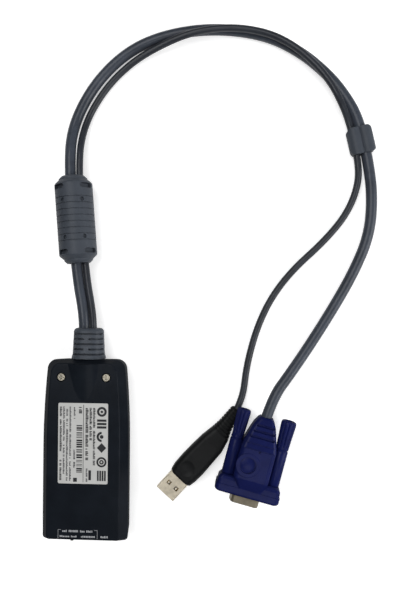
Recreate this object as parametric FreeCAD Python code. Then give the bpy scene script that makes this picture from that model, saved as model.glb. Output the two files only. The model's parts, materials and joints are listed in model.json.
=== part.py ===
import FreeCAD, Part
import math
import os
from FreeCAD import Placement, Rotation, Vector

# Keyboard, video and mouse adapter: a moulded case with a network socket at one end and, at the
# other, two cords that pass a ferrite moulding and a clip and end in a video and a USB plug.
# Millimetres. The origin is under the middle of the case, on the surface that it lies on.
# +Y runs from the network socket to the cords, and +Z points out of the label.

# network socket, hanging under the board
jack_width = 15.8
jack_depth = 16.6
jack_height = 13.2
shield_thickness = 0.25
cavity_width = 11.8
cavity_height = 7.4
cavity_depth = 13.4
cavity_step = 3.4            # from the socket's underside up to the cavity's lower face
latch_width = 6.2
latch_drop = 1.5
latch_nose_width = 3.3
latch_nose_drop = 1.0
contact_count = 8
contact_pitch = 1.02
contact_thickness = 0.36
contact_tip_rise = 4.4       # above the cavity's lower face

# case: two drafted covers that meet at a seam, level with the top of the circuit board
wall = 2.0
board_thickness = 1.6
socket_clearance = 0.2       # under the network socket
board_top = wall + socket_clearance + jack_height + board_thickness
board_bottom = board_top - board_thickness
socket_bottom = board_bottom - jack_height
seam_height = board_top
room_above_board = 4.0       # for the switch and the light
case_height = board_top + room_above_board + wall
seam_half_width = 23.1
seam_half_length = 48.2
side_draft_up = 3.7          # how far the label cover's walls lean in, at the sides and at the ends
end_draft_up = 1.7
side_draft_down = 1.9        # and the face cover's
end_draft_down = 1.2
label_half_width = seam_half_width - side_draft_up
label_half_length = seam_half_length - end_draft_up
floor_half_width = seam_half_width - side_draft_down
floor_half_length = seam_half_length - end_draft_down
waist_start = 0.0            # where the long sides begin to curve in
waist_radius = 465.0
cord_corner_radius = 5.5
socket_corner_radius = 1.8
label_edge_radius = 0.8
floor_edge_radius = 1.6
seam_chamfer = 0.2
lip_thickness = 0.8
lip_height = 0.8
lip_root = 1.5
fit_gap = 0.1                # between two moulded parts that fit together
moving_gap = 0.3             # between parts that move past each other
press_gap = 0.02             # round metal that is moulded in
grip_slot_ys = (-30.5, -23.5)
grip_slot_height = 1.2
grip_slot_foot = 1.2         # above the floor

# bulge over the cord clamp, on the label side
bulge_half_width = 8.3
bulge_rise = 1.8
bulge_length = 18.8

# case screws
screw_side_margin = 7.4      # in from the edges of the label face
screw_end_margin = 7.35
screw_x = label_half_width - screw_side_margin
screw_y = label_half_length - screw_end_margin
screw_head_radius = 2.2
screw_head_height = 1.3
screw_seat_radius = 2.45
screw_shank_radius = 1.1
screw_bite = 6.4             # length of thread below the seam
screw_cross_arm = 1.25
screw_cross_half = 0.3
screw_cross_depth = 0.9
boss_radius = 3.2
pilot_radius = 0.95

# label
label_width = 26.5
label_length = 42.5
label_gap = 2.05             # between the label and the tip of the bulge
label_y = label_half_length - bulge_length - label_gap - label_length / 2
label_thickness = 0.12
label_corner = 0.8

# circuit board and what stands on it
board_side_margin = 4.9      # inside the seam's outline
board_front_margin = 3.8
board_half_width = seam_half_width - board_side_margin
board_front = board_front_margin - seam_half_length
board_back = screw_y - boss_radius - 2.45
board_corner = 2.0
post_radius = 2.0
post_x = board_half_width - 2.4
post_ys = (board_front + 24.4, board_back - 7.5)
socket_recess = 0.3          # behind the foot of the end wall
jack_front = socket_recess - floor_half_length

# sockets for the cords' wires, on the board's lower side
header_pitch = 1.25
header_length = 5.2
header_height = 5.0
header_margin = 2.0          # from the board's cord end
video_header_x = -4.2
usb_header_x = 6.4
video_bundle_radius = 2.2
usb_bundle_radius = 1.3

# slide switch and link light, on top of the board
switch_x = -5.5
switch_width = 8.6
switch_depth = 3.6
switch_height = 3.5
switch_metal = 0.3
switch_travel = 2.0
knob_width = 1.5
knob_height = 1.2
knob_reach = 0.8             # how far the knob stands out of the case
knob_groove_half = 0.08
light_x = 8.8
light_radius = 1.0
light_height = 1.9           # above the board

# strain-relief boot
boot_height = case_height / 2
boot_front = seam_half_length + 0.05
boot_length = 16.5
boot_stations = (            # from the case end: place, half width, half thickness
    (0.0, 9.2, 7.5), (1.2, 9.0, 7.45), (2.6, 8.55, 7.3),
    (15.0, 8.0, 6.6), (16.0, 7.5, 6.1), (16.5, 6.7, 5.3))
boot_slot_count = 5
boot_slot_pitch = 2.75
boot_slot_width = 0.95
boot_first_slot = 2.9        # from the tip
boot_bridge = 2.5            # left whole in the middle of every second row
boot_side_bridge = 1.4       # half height of what stays whole at the sides
boot_core_half_width = 6.9   # inside the slots
boot_core_half_thickness = 4.8
neck_half_width = 6.6
neck_half_thickness = 5.4
flange_thickness = 1.4
flange_margin = 1.0

# cords
video_diameter = 6.0
usb_diameter = 3.8
cord_gap = 0.25              # round a cord, in the mouldings it passes through
cord_spacing = (video_diameter + usb_diameter) / 2 + 0.1

# ferrite moulding round both cords
ferrite_centre = Vector(-8.1, 123.8, 10.25)
ferrite_angle = 4.6          # about Z, from +Y
ferrite_radius = 10.25
ferrite_half_length = 23.75
ferrite_band = 19.2          # half length of the full diameter
ferrite_collar_radius = 7.75
ferrite_end_radius = 6.3
ferrite_groove_count = 8
ferrite_groove_pitch = 3.35
ferrite_groove_width = 0.45
ferrite_groove_depth = 0.4
ferrite_hole_radius = 1.1
ferrite_hole_depth = 1.2
ferrite_hole_angles = (-43.0, 18.0, 78.0, -162.0)
ferrite_slot_angles = (-60.0, 38.0, -170.0)
ferrite_slot_height = 2.6
ferrite_slot_width = 8.0
ferrite_slot_depth = 2.6
ferrite_slot_offset = 17.6   # from the middle
core_radius = 8.6
core_bore = 5.9
core_half_length = 14.0
ferrite_video_offset = -1.7  # sideways place of each cord in the moulding
ferrite_usb_offset = ferrite_video_offset + cord_spacing

# cord clip
clip_centre = Vector(147.0, 168.0, 4.2)
clip_angle = 13.1
clip_lobe_radius = 4.2
clip_lobe_offset = 2.9
clip_length = 14.5
clip_corner = 3.0
clip_video_offset = 1.4
clip_usb_offset = clip_video_offset - cord_spacing - 0.1

# USB plug; its own frame has the mating end towards -Y
usb_place = Vector(49.75, -17.4, 4.4)
usb_angle = -42.0
usb_shell_width = 12.0
usb_shell_height = 4.5
usb_shell_corner = 0.6
usb_shell_reach = 12.0
usb_shell_root = 6.0         # length inside the moulding
usb_metal = 0.3
usb_window = 2.2
usb_window_x = 2.6
usb_window_y = -5.6
usb_stations = (             # along the moulding: place, half width, half height, shift sideways and up
    (0.0, 6.4, 3.6, 0.2, 0.0), (0.8, 7.0, 4.15, 0.2, 0.0), (4.0, 7.6, 4.3, 0.2, 0.0),
    (10.0, 7.85, 4.3, 0.25, 0.0), (18.0, 7.6, 4.3, 0.2, 0.0), (26.0, 7.2, 4.3, 0.3, 0.0),
    (33.0, 5.8, 4.05, 0.0, -0.25), (38.5, 4.4, 3.4, -0.9, -0.9), (44.0, 3.75, 2.85, -1.6, -1.45),
    (47.9, 3.45, 2.6, -1.9, -1.7), (49.0, 2.8, 2.1, -1.95, -1.7))
usb_body_half_height = 4.3
usb_corner = 3.4
usb_rib_start = 34.0
usb_rib_count = 8
usb_rib_pitch = 1.8
usb_rib_width = 0.6
usb_rib_depth = 0.45
usb_dish_radius = 4.4
usb_dish_depth = 0.6
usb_dish_x = -0.8
usb_dish_y = 7.0
usb_tongue_height = 1.95
usb_tongue_recess = 0.6
usb_contact_count = 4
usb_contact_pitch = 2.3
usb_contact_width = 1.0
usb_contact_height = 0.2

# video plug; its own frame has the mating end towards -Y
vga_place = Vector(86.0, -25.3, 8.0)
vga_angle = -14.5
hood_length = 44.0
hood_half_height = 8.0
hood_stations = (            # along the body: place, half width, half height, shift sideways and up
    (4.4, 7.2, 6.7, 0.9, 0.0), (10.2, 9.6, 8.0, 0.0, 0.0), (27.0, 9.6, 8.0, 0.0, 0.0),
    (30.0, 9.0, 7.6, 0.0, 0.0), (33.5, 8.0, 7.1, 0.0, 0.0), (37.0, 7.0, 6.5, 0.0, 0.0),
    (40.0, 6.0, 5.9, 0.0, 0.0), (43.0, 4.5, 5.0, 0.0, 0.0), (44.0, 3.7, 4.2, 0.0, 0.0))
hood_corner = 2.4
hood_lip_width = 35.3
hood_lip_height = 13.6
hood_lip_depth = 4.4
hood_web_top = 3.7           # below the plug's axis, clear of the thumbscrews
hood_web_foot = 6.2
hood_web_half_width = 13.6
hood_web_end = 25.5
hood_slot_ys = (33.4, 36.5, 39.6)
hood_slot_spans = ((-6.6, 7.1), (-5.5, 6.5), (-4.3, 5.5))
hood_slot_width = 1.15
hood_slot_depth = 1.5
hood_line_ys = (26.8, 29.8)
hood_line_width = 0.45
hood_line_depth = 0.3
hood_hole = (0.7, 26.05)
hood_hole_radius = 0.5
hood_hole_depth = 0.8
ring_radius = 6.5
ring_rise = 0.35
dish_radius = 4.4
dish_depth = 0.55
dish_dome_radius = 18.0
ring_x = -3.6
ring_y = 17.8
plate_width = 30.8
plate_height = 12.4
plate_thickness = 0.8
plate_recess = 1.5
plate_corner = 1.5
dsub_wide_half = 8.6
dsub_narrow_half = 7.2
dsub_half_height = 4.15
dsub_corner = 2.2
dsub_metal = 0.4
dsub_reach = 5.8
pin_radius = 0.38
pin_pitch = 2.29
pin_row_pitch = 1.98
pin_rows = 3
pins_per_row = 5
pin_reach = 4.9
pin_root = 2.5
pin_hole_gap = 0.04
insulator_depth = 7.0
insulator_rise = 0.4         # in front of the plate

# thumbscrews of the video plug
thumb_spacing = 24.99
thumb_shoulder = 9.0
thumb_grip_start = 28.9
thumb_length = 45.3
thumb_radius = 3.15
thumb_grip_radius = 3.25
thumb_end_radius = 3.75
thumb_flute_count = 10
thumb_flute_radius = 0.5
thumb_slot_width = 1.0
thumb_slot_depth = 1.2
stud_radius = 1.42
stud_tip = 0.5
stud_root = 4.0
stud_gap = 0.1

# Routes of the cords, point by point, from the boot to the plugs.
video_route = [
    (-2.6, 64.75, 11.5), (-2.6, 71.5, 11.5), (-7.51, 95.26, 10.25), (-12.24, 154.07, 10.25),
    (-12.0, 178.1, 3.2),
    (0.3, 201.3, 3.0), (18.8, 219.0, 3.0), (40.2, 227.8, 3.0), (66.9, 231.0, 3.0),
    (94.4, 227.2, 3.0), (113.7, 217.7, 3.0), (128.4, 205.4, 3.0), (137.7, 194.1, 3.4),
    (145.64, 180.0, 4.2), (151.08, 156.63, 4.2), (153.8, 138.1, 3.0), (152.3, 116.7, 3.0),
    (143.9, 96.2, 3.0), (132.7, 76.1, 3.0), (120.4, 56.1, 3.0), (109.3, 40.0, 5.4),
    (100.8, 28.7, 7.7), (96.7, 16.35, 8.0)]
usb_route = [
    (2.4, 64.75, 11.5), (2.4, 71.5, 11.5), (-2.52, 95.66, 10.25), (-7.26, 154.47, 10.25),
    (-5.9, 177.9, 2.6),
    (5.2, 197.9, 1.9), (19.3, 212.0, 1.9), (35.1, 220.4, 4.6), (54.5, 226.8, 8.5),
    (74.9, 229.3, 8.5), (94.8, 226.3, 8.5), (109.6, 219.1, 8.5), (121.6, 208.8, 8.5),
    (129.8, 198.7, 8.5), (134.9, 189.8, 8.0), (140.68, 178.85, 4.2), (146.12, 155.47, 4.2),
    (146.0, 143.1, 2.0), (140.0, 128.0, 1.9), (127.7, 113.1, 1.9), (111.3, 98.0, 1.9),
    (99.8, 83.1, 1.9), (92.2, 67.0, 1.9), (87.9, 52.1, 1.9), (85.7, 41.0, 2.0),
    (84.6, 31.0, 2.3), (82.9, 25.0, 2.6), (80.6, 19.5, 2.75)]


def box(x0, x1, y0, y1, z0, z1):
    return Part.makeBox(x1 - x0, y1 - y0, z1 - z0, Vector(x0, y0, z0))


def cylinder(radius, start, end):
    run = end - start
    return Part.makeCylinder(radius, run.Length, start, run)


def fused(shapes):
    return shapes[0].multiFuse(shapes[1:]).removeSplitter()


def placed(shape, where, angle):
    """Turn a shape about Z by an angle and move it to its place on the object."""
    copy = shape.copy()
    copy.Placement = Placement(where, Rotation(Vector(0, 0, 1), angle)).multiply(copy.Placement)
    return copy


def export(name, shape):
    shape.exportStep(os.path.join("parts", name + ".step"))
    print(name, len(shape.Solids), "solid(s)", round(shape.Volume, 1), "mm3", shape.isValid())


def edges_at_height(shape, z):
    near = 1e-4
    return [e for e in shape.Edges if abs(e.BoundBox.ZMin - z) < near and abs(e.BoundBox.ZMax - z) < near]


def rounded_rectangle(half_width, half_height, corner, y, x_centre=0.0, z_centre=0.0):
    """Closed outline across the Y axis, with round corners."""
    corner = min(corner, half_width - 0.05, half_height - 0.05)
    flat_x, flat_z = half_width - corner, half_height - corner
    turn = corner * math.sqrt(0.5)
    edges = []
    quadrants = [(1, 1), (-1, 1), (-1, -1), (1, -1)]
    for index, (sx, sz) in enumerate(quadrants):
        centre = Vector(x_centre + sx * flat_x, y, z_centre + sz * flat_z)
        side, top = Vector(sx * corner, 0, 0), Vector(0, 0, sz * corner)
        middle = centre + Vector(sx * turn, 0, sz * turn)
        first, last = (side, top) if index % 2 == 0 else (top, side)
        edges.append(Part.Arc(centre + first, middle, centre + last).toShape())
    joined = []
    for index, edge in enumerate(edges):
        following = edges[(index + 1) % len(edges)]
        joined.append(edge)
        start, end = edge.Vertexes[-1].Point, following.Vertexes[0].Point
        joined.append(Part.LineSegment(start, end).toShape())
    return Part.Wire(joined)


def across(outline, depth):
    """Solid made by pushing an outline along Y."""
    return Part.Face(outline).extrude(Vector(0, depth, 0))


def loft(stations, corner):
    """Solid along Y through rounded outlines: place, half width, half height, and centre of each."""
    outlines = [rounded_rectangle(w, h, corner, y, x, z) for y, w, h, x, z in stations]
    return Part.makeLoft(outlines, True, True)


def station_at(stations, y):
    """Half width, half height and centre between two stations of a loft."""
    for before, after in zip(stations, stations[1:]):
        if before[0] <= y <= after[0]:
            part = (y - before[0]) / (after[0] - before[0])
            return [a + (b - a) * part for a, b in zip(before[1:], after[1:])]


def width_at(z):
    """Half width and half length of the case at a height, on its drafted walls."""
    if z <= seam_height:
        part = z / seam_height
        low, high = (floor_half_width, floor_half_length), (seam_half_width, seam_half_length)
    else:
        part = (z - seam_height) / (case_height - seam_height)
        low, high = (seam_half_width, seam_half_length), (label_half_width, label_half_length)
    return tuple(a + (b - a) * part for a, b in zip(low, high))


def case_outline(z, inset=0.0):
    """Plan of the case at a height: straight sides that curve in towards the cord end."""
    half_width, half_length = width_at(z)
    w, h = half_width - inset, half_length - inset
    side_radius = waist_radius - inset
    side_centre = Vector(half_width - waist_radius, waist_start, z)
    corner = max(cord_corner_radius - inset, 1.0)
    socket_corner = max(socket_corner_radius - inset, 0.4)
    corner_y = h - corner
    reach = math.sqrt((side_radius - corner) ** 2 - (corner_y - waist_start) ** 2)
    corner_centre = Vector(side_centre.x + reach, corner_y, z)
    outward = (corner_centre - side_centre).normalize()
    tangent = side_centre + outward * side_radius
    half_turn = math.atan2(outward.y, outward.x)
    side_middle = side_centre + Vector(math.cos(half_turn / 2), math.sin(half_turn / 2), 0) * side_radius
    corner_turn = (half_turn + math.pi / 2) / 2
    corner_middle = corner_centre + Vector(math.cos(corner_turn), math.sin(corner_turn), 0) * corner
    corner_end = Vector(corner_centre.x, h, z)
    low_centre = Vector(w - socket_corner, -h + socket_corner, z)
    low_start = Vector(w - socket_corner, -h, z)
    low_middle = low_centre + Vector(1, -1, 0).normalize() * socket_corner
    low_end = Vector(w, -h + socket_corner, z)
    side_start = Vector(w, waist_start, z)

    def mirrored(p):
        return Vector(-p.x, p.y, p.z)

    right = [Part.Arc(low_start, low_middle, low_end), Part.LineSegment(low_end, side_start),
             Part.Arc(side_start, side_middle, tangent), Part.Arc(tangent, corner_middle, corner_end)]
    left = [Part.Arc(mirrored(corner_end), mirrored(corner_middle), mirrored(tangent)),
            Part.Arc(mirrored(tangent), mirrored(side_middle), mirrored(side_start)),
            Part.LineSegment(mirrored(side_start), mirrored(low_end)),
            Part.Arc(mirrored(low_end), mirrored(low_middle), mirrored(low_start))]
    far_end = Part.LineSegment(corner_end, mirrored(corner_end))
    near_end = Part.LineSegment(mirrored(low_start), low_start)
    return Part.Wire([c.toShape() for c in right + [far_end] + left + [near_end]])


def case_block(z0, z1, inset=0.0):
    return Part.makeLoft([case_outline(z0, inset), case_outline(z1, inset)], True, True)


def seam_ring(z0, z1, outer_inset, inner_inset):
    """Upright ring just inside the outline of the seam."""
    height = Vector(0, 0, z1 - z0)
    rings = []
    for inset in (outer_inset, inner_inset):
        outline = case_outline(seam_height, inset)
        outline.translate(Vector(0, 0, z0 - seam_height))
        rings.append(Part.Face(outline).extrude(height))
    return rings[0].cut(rings[1])


def boot_neck(gap=0.0):
    outline = rounded_rectangle(neck_half_width + gap, neck_half_thickness + gap, neck_half_thickness - 0.4,
                                boot_front - 4.0, 0.0, boot_height)
    return across(outline, 8.0)


def light_axis_height():
    return board_top + light_height


def switch_knob_height():
    return board_top + switch_height / 2


def label_cover():
    outer = Part.makeLoft([case_outline(seam_height, seam_chamfer),
                           case_outline(seam_height + seam_chamfer), case_outline(case_height)], True, True)
    outer = outer.makeFillet(label_edge_radius, edges_at_height(outer, case_height))
    radius = (bulge_half_width ** 2 + bulge_rise ** 2) / (2 * bulge_rise)
    slope = Vector(0, bulge_length, bulge_rise)
    tip = Vector(0, label_half_length - bulge_length, case_height - radius)
    run_in = 0.5                        # the bulge is carried on past both of its ends
    bulge = cylinder(radius, tip - slope * run_in, tip + slope * (1 + run_in))
    end = label_half_length - label_edge_radius / 2
    bulge = bulge.common(box(-bulge_half_width, bulge_half_width, tip.y - 1, end,
                             case_height - 1.0, case_height + bulge_rise + 1))
    shell = outer.fuse(bulge).removeSplitter()
    shell = shell.cut(case_block(seam_height, case_height - wall, wall))
    shell = shell.cut(seam_ring(seam_height - 0.5, seam_height + lip_height + fit_gap,
                                wall - lip_thickness - fit_gap, wall + 0.5))
    ceiling = case_height - wall
    posts = []
    for side in (-1, 1):
        x = side * screw_x
        foot = Vector(x, screw_y, seam_height)
        posts.append(cylinder(boss_radius, foot, Vector(x, screw_y, ceiling + 0.5)))
        for y in post_ys:
            foot = Vector(side * post_x, y, board_top)
            posts.append(cylinder(post_radius, foot, Vector(foot.x, y, ceiling + 0.5)))
    inside = case_block(seam_height, case_height - wall / 2, wall / 2)
    shell = fused([shell] + [post.common(inside) for post in posts])
    seat = case_height - screw_head_height - fit_gap
    for side in (-1, 1):
        x = side * screw_x
        shell = shell.cut(cylinder(screw_seat_radius, Vector(x, screw_y, seat),
                                   Vector(x, screw_y, case_height + 1)))
        shell = shell.cut(cylinder(screw_shank_radius + fit_gap, Vector(x, screw_y, 0),
                                   Vector(x, screw_y, case_height)))
    shell = shell.cut(boot_neck(fit_gap))
    knob_slot = knob_width + switch_travel + 2 * moving_gap
    z = switch_knob_height()
    tall = knob_height / 2 + moving_gap
    shell = shell.cut(box(switch_x - knob_slot / 2, switch_x + knob_slot / 2, -seam_half_length - 1,
                          -seam_half_length + wall + 1, z - tall, z + tall))
    light = light_axis_height()
    shell = shell.cut(cylinder(light_radius + fit_gap, Vector(light_x, -seam_half_length - 1, light),
                               Vector(light_x, -seam_half_length + wall + 1.5, light)))
    return shell


def face_cover():
    outer = Part.makeLoft([case_outline(0), case_outline(seam_height - seam_chamfer),
                           case_outline(seam_height, seam_chamfer)], True, True)
    outer = outer.makeFillet(floor_edge_radius, edges_at_height(outer, 0))
    shell = outer.cut(case_block(wall, seam_height, wall))
    lip = seam_ring(seam_height - lip_root, seam_height + lip_height, wall - lip_thickness, wall)
    shell = shell.fuse(lip)
    posts = []
    for side in (-1, 1):
        x = side * screw_x
        posts.append(cylinder(boss_radius, Vector(x, screw_y, wall / 2), Vector(x, screw_y, seam_height)))
        for y in post_ys:
            foot = Vector(side * post_x, y, wall / 2)
            posts.append(cylinder(post_radius, foot, Vector(foot.x, y, board_bottom)))
    inside = case_block(wall / 2, seam_height, wall / 2)
    shell = fused([shell] + [post.common(inside) for post in posts])
    for side in (-1, 1):
        x = side * screw_x
        shell = shell.cut(cylinder(pilot_radius, Vector(x, screw_y, seam_height - screw_bite - fit_gap),
                                   Vector(x, screw_y, case_height)))
    shell = shell.cut(boot_neck(fit_gap))
    half = jack_width / 2 + fit_gap
    shell = shell.cut(box(-half, half, -seam_half_length - 1, -seam_half_length + wall + 2.0,
                          socket_bottom - fit_gap, board_bottom))
    grip_slot = box(-seam_half_width - 1, -floor_half_width + 0.3, grip_slot_ys[0], grip_slot_ys[1],
                    grip_slot_foot, grip_slot_foot + grip_slot_height)
    return shell.cut(grip_slot).cut(grip_slot.mirror(Vector(0, 0, 0), Vector(1, 0, 0)))


def rating_label():
    plate = box(-label_width / 2, label_width / 2, label_y - label_length / 2, label_y + label_length / 2,
                case_height, case_height + label_thickness)
    upright = [e for e in plate.Edges if abs(e.BoundBox.ZLength - label_thickness) < 1e-4]
    return plate.makeFillet(label_corner, upright)


def case_screw(side):
    x = side * screw_x
    top = case_height - fit_gap
    under = top - screw_head_height
    head = cylinder(screw_head_radius, Vector(x, screw_y, under), Vector(x, screw_y, top))
    head = head.makeChamfer(0.35, edges_at_height(head, top))
    tip = Vector(x, screw_y, seam_height - screw_bite)
    shank = cylinder(pilot_radius, tip, Vector(x, screw_y, under + 0.2))
    screw = fused([head, shank])
    arm, half = screw_cross_arm, screw_cross_half
    for dx, dy in ((arm, half), (half, arm)):
        screw = screw.cut(box(x - dx, x + dx, screw_y - dy, screw_y + dy, top - screw_cross_depth, top + 1))
    return screw


def circuit_board():
    plate = box(-board_half_width, board_half_width, board_front, board_back, board_bottom, board_top)
    upright = [e for e in plate.Edges if abs(e.BoundBox.ZLength - board_thickness) < 1e-4]
    return plate.makeFillet(board_corner, upright)


def cavity_floor():
    return socket_bottom + cavity_step


def jack_shield():
    half, t = jack_width / 2, shield_thickness
    back = jack_front + jack_depth
    can = box(-half, half, jack_front, back, socket_bottom, board_bottom)
    can = can.cut(box(-half + t, half - t, jack_front + t, back - t, socket_bottom + t, board_bottom + 1))
    margin = 0.3
    mouth = cavity_width / 2 + margin
    low = cavity_floor() - latch_drop - latch_nose_drop - margin
    high = cavity_floor() + cavity_height + margin
    return can.cut(box(-mouth, mouth, jack_front - 1, jack_front + 1, low, high))


def jack_housing():
    skin = shield_thickness + 0.05
    half = jack_width / 2 - skin
    front = jack_front + skin
    body = box(-half, half, front, jack_front + jack_depth - skin, socket_bottom + skin, board_bottom)
    back = front + cavity_depth
    z = cavity_floor()
    hollows = [box(-cavity_width / 2, cavity_width / 2, front - 1, back, z, z + cavity_height),
               box(-latch_width / 2, latch_width / 2, front - 1, back, z - latch_drop, z + 1),
               box(-latch_nose_width / 2, latch_nose_width / 2, front - 1, back,
                   z - latch_drop - latch_nose_drop, z)]
    return body.cut(fused(hollows))


def jack_contacts():
    """Spring wires that slant down into the socket from its ceiling."""
    ceiling = cavity_floor() + cavity_height
    tip = cavity_floor() + contact_tip_rise
    t = contact_thickness
    start, end = jack_front + 2.6, jack_front + 11.0
    profile = [(start, ceiling), (start, ceiling - t), (start + 0.9, ceiling - t), (end, tip),
               (end, tip + t), (start + 1.3, ceiling)]
    wires = []
    for index in range(contact_count):
        x = (index - (contact_count - 1) / 2) * contact_pitch - t / 2
        corners = [Vector(x, y, z) for y, z in profile]
        face = Part.Face(Part.makePolygon(corners + corners[:1]))
        wires.append(face.extrude(Vector(t, 0, 0)))
    return Part.makeCompound(wires)


def switch_span():
    """Front and back of the slide switch, behind the case's end wall."""
    front = -width_at(board_top + switch_height)[1] + wall + moving_gap
    return front, front + switch_depth


def switch_base():
    front, back = switch_span()
    half = switch_width / 2 - switch_metal
    return box(switch_x - half, switch_x + half, front + 1.7, back - switch_metal, board_top,
               board_top + switch_height - switch_metal)


def switch_frame():
    front, back = switch_span()
    half, t = switch_width / 2, switch_metal
    can = box(switch_x - half, switch_x + half, front, back, board_top, board_top + switch_height)
    can = can.cut(box(switch_x - half + t, switch_x + half - t, front + t, back - t, board_top - 1,
                      board_top + switch_height - t))
    slot = knob_width / 2 + switch_travel / 2 + moving_gap
    z, tall = switch_knob_height(), knob_height / 2 + moving_gap
    return can.cut(box(switch_x - slot, switch_x + slot, front - 1, front + 1, z - tall, z + tall))


def switch_slider():
    """Carriage and knob; it rests at the left-hand stop and slides along +X."""
    front, _ = switch_span()
    x = switch_x - switch_travel / 2
    z = switch_knob_height()
    wide = switch_width / 2 - switch_travel / 2 - switch_metal - moving_gap
    carriage = box(x - wide, x + wide, front + 0.45, front + 1.6, board_top + moving_gap,
                   board_top + switch_height - switch_metal - moving_gap)
    tip = -width_at(z)[1] - knob_reach
    wide, tall = knob_width / 2, knob_height / 2
    knob = box(x - wide, x + wide, tip, front + 1.0, z - tall, z + tall)
    knob = knob.makeFillet(0.25, [e for e in knob.Edges if abs(e.BoundBox.YMax - tip) < 1e-4])
    slider = fused([carriage, knob])
    half = knob_groove_half
    for offset in (-0.4, 0.0, 0.4):
        slider = slider.cut(box(x + offset - half, x + offset + half, tip - 1, tip + 0.15,
                                z - knob_height, z + knob_height))
    return slider


def link_light():
    z = light_axis_height()
    face = -width_at(z)[1]
    top = z + light_radius + 0.3
    inner = -width_at(top)[1] + wall + moving_gap
    body = box(light_x - 1.5, light_x + 1.5, inner, inner + 3.4, board_top, top)
    lens = cylinder(light_radius, Vector(light_x, face + 0.15, z), Vector(light_x, inner + 1, z))
    lens = lens.makeFillet(0.4, [e for e in lens.Edges if abs(e.BoundBox.YMax - face - 0.15) < 1e-4])
    return fused([body, lens])


def chip(x, y, width, length, height, below=True):
    z0, z1 = (board_bottom - height, board_bottom) if below else (board_top, board_top + height)
    block = box(x - width / 2, x + width / 2, y - length / 2, y + length / 2, z0, z1)
    upright = [e for e in block.Edges if abs(e.BoundBox.ZLength - height) < 1e-4]
    return block.makeChamfer(0.4, upright)


def header(x, pins):
    """Wire-to-board socket on the cord end of the board's lower side."""
    half = (pins * header_pitch + 1.6) / 2
    y1 = board_back - header_margin
    foot = board_bottom - header_height
    wall_side, wall_top = 0.6, 0.8
    body = box(x - half, x + half, y1 - header_length, y1, foot, board_bottom)
    return body.cut(box(x - half + wall_side, x + half - wall_side, y1 - header_length / 2, y1 + 1,
                        foot + wall_side, board_bottom - wall_top))


def wire_bundle(x, pins, radius):
    """Loose wires from the boot's inner end to the header, as one round bundle with its plug."""
    half = (pins * header_pitch + 0.2) / 2
    y1 = board_back - header_margin
    z = board_bottom - header_height + 2.0
    plug = box(x - half, x + half, y1 - 2.5, y1 + 1.5, board_bottom - 4.2, board_bottom - 1.0)
    wires = cylinder(radius, Vector(x, y1 + 1.4, z), Vector(x, boot_inner_end(), z))
    return fused([plug, wires])


def boot_inner_end():
    inner_wall = width_at(boot_height - neck_half_thickness - flange_margin)[1] - wall
    return inner_wall - fit_gap - flange_thickness


def boot_slot(index):
    """Pair of grooves round the upper and lower halves; every second row is left whole in the middle."""
    y = boot_front + boot_length - boot_first_slot - index * boot_slot_pitch
    half, reach = boot_slot_width / 2, boot_stations[0][1] + 1
    thickness = boot_core_half_thickness
    core = across(rounded_rectangle(boot_core_half_width, thickness, thickness - 0.4,
                                    y - 1, 0.0, boot_height), 2.0)
    whole = box(-boot_bridge / 2, boot_bridge / 2, y - 1, y + 1, -5, case_height + 5)
    slots = []
    for low, high in ((boot_side_bridge, reach), (-reach, -boot_side_bridge)):
        band = box(-reach, reach, y - half, y + half, boot_height + low, boot_height + high).cut(core)
        slots.append(band.cut(whole) if index % 2 else band)
    return slots


def cord_boot():
    """Oval strain relief: slotted body outside the case, neck through its wall, flange inside."""
    outlines = [rounded_rectangle(w, t, t - 0.6, boot_front + y, 0.0, boot_height)
                for y, w, t in boot_stations]
    body = Part.makeLoft(outlines, True, True)
    slots = [slot for index in range(boot_slot_count) for slot in boot_slot(index)]
    body = body.cut(Part.makeCompound(slots))
    inner = boot_inner_end()
    neck = across(rounded_rectangle(neck_half_width, neck_half_thickness, neck_half_thickness - 0.4,
                                    inner, 0.0, boot_height), boot_front - inner + 0.5)
    flange = across(rounded_rectangle(neck_half_width + flange_margin, neck_half_thickness + flange_margin,
                                      neck_half_thickness, inner, 0.0, boot_height), flange_thickness)
    return fused([body, neck, flange])


def cord_bores(half_length, video_offset, usb_offset):
    """Passages for the two cords through a moulding, along its own Y axis."""
    video = cylinder(video_diameter / 2 + cord_gap, Vector(video_offset, -half_length, 0),
                     Vector(video_offset, half_length, 0))
    usb = cylinder(usb_diameter / 2 + cord_gap, Vector(usb_offset, -half_length, 0),
                   Vector(usb_offset, half_length, 0))
    return video.fuse(usb)


def cord_seat(route, diameter):
    """Bore in a plug's tail for the last run of its cord."""
    return cylinder(diameter / 2 + press_gap, Vector(*route[-1]), Vector(*route[-2]))


def ferrite_core_shape(gap=0.0):
    half = core_half_length + gap
    outer = cylinder(core_radius + gap, Vector(0, -half, 0), Vector(0, half, 0))
    return outer.cut(cylinder(core_bore - gap, Vector(0, -half, 0), Vector(0, half, 0)))


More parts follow.
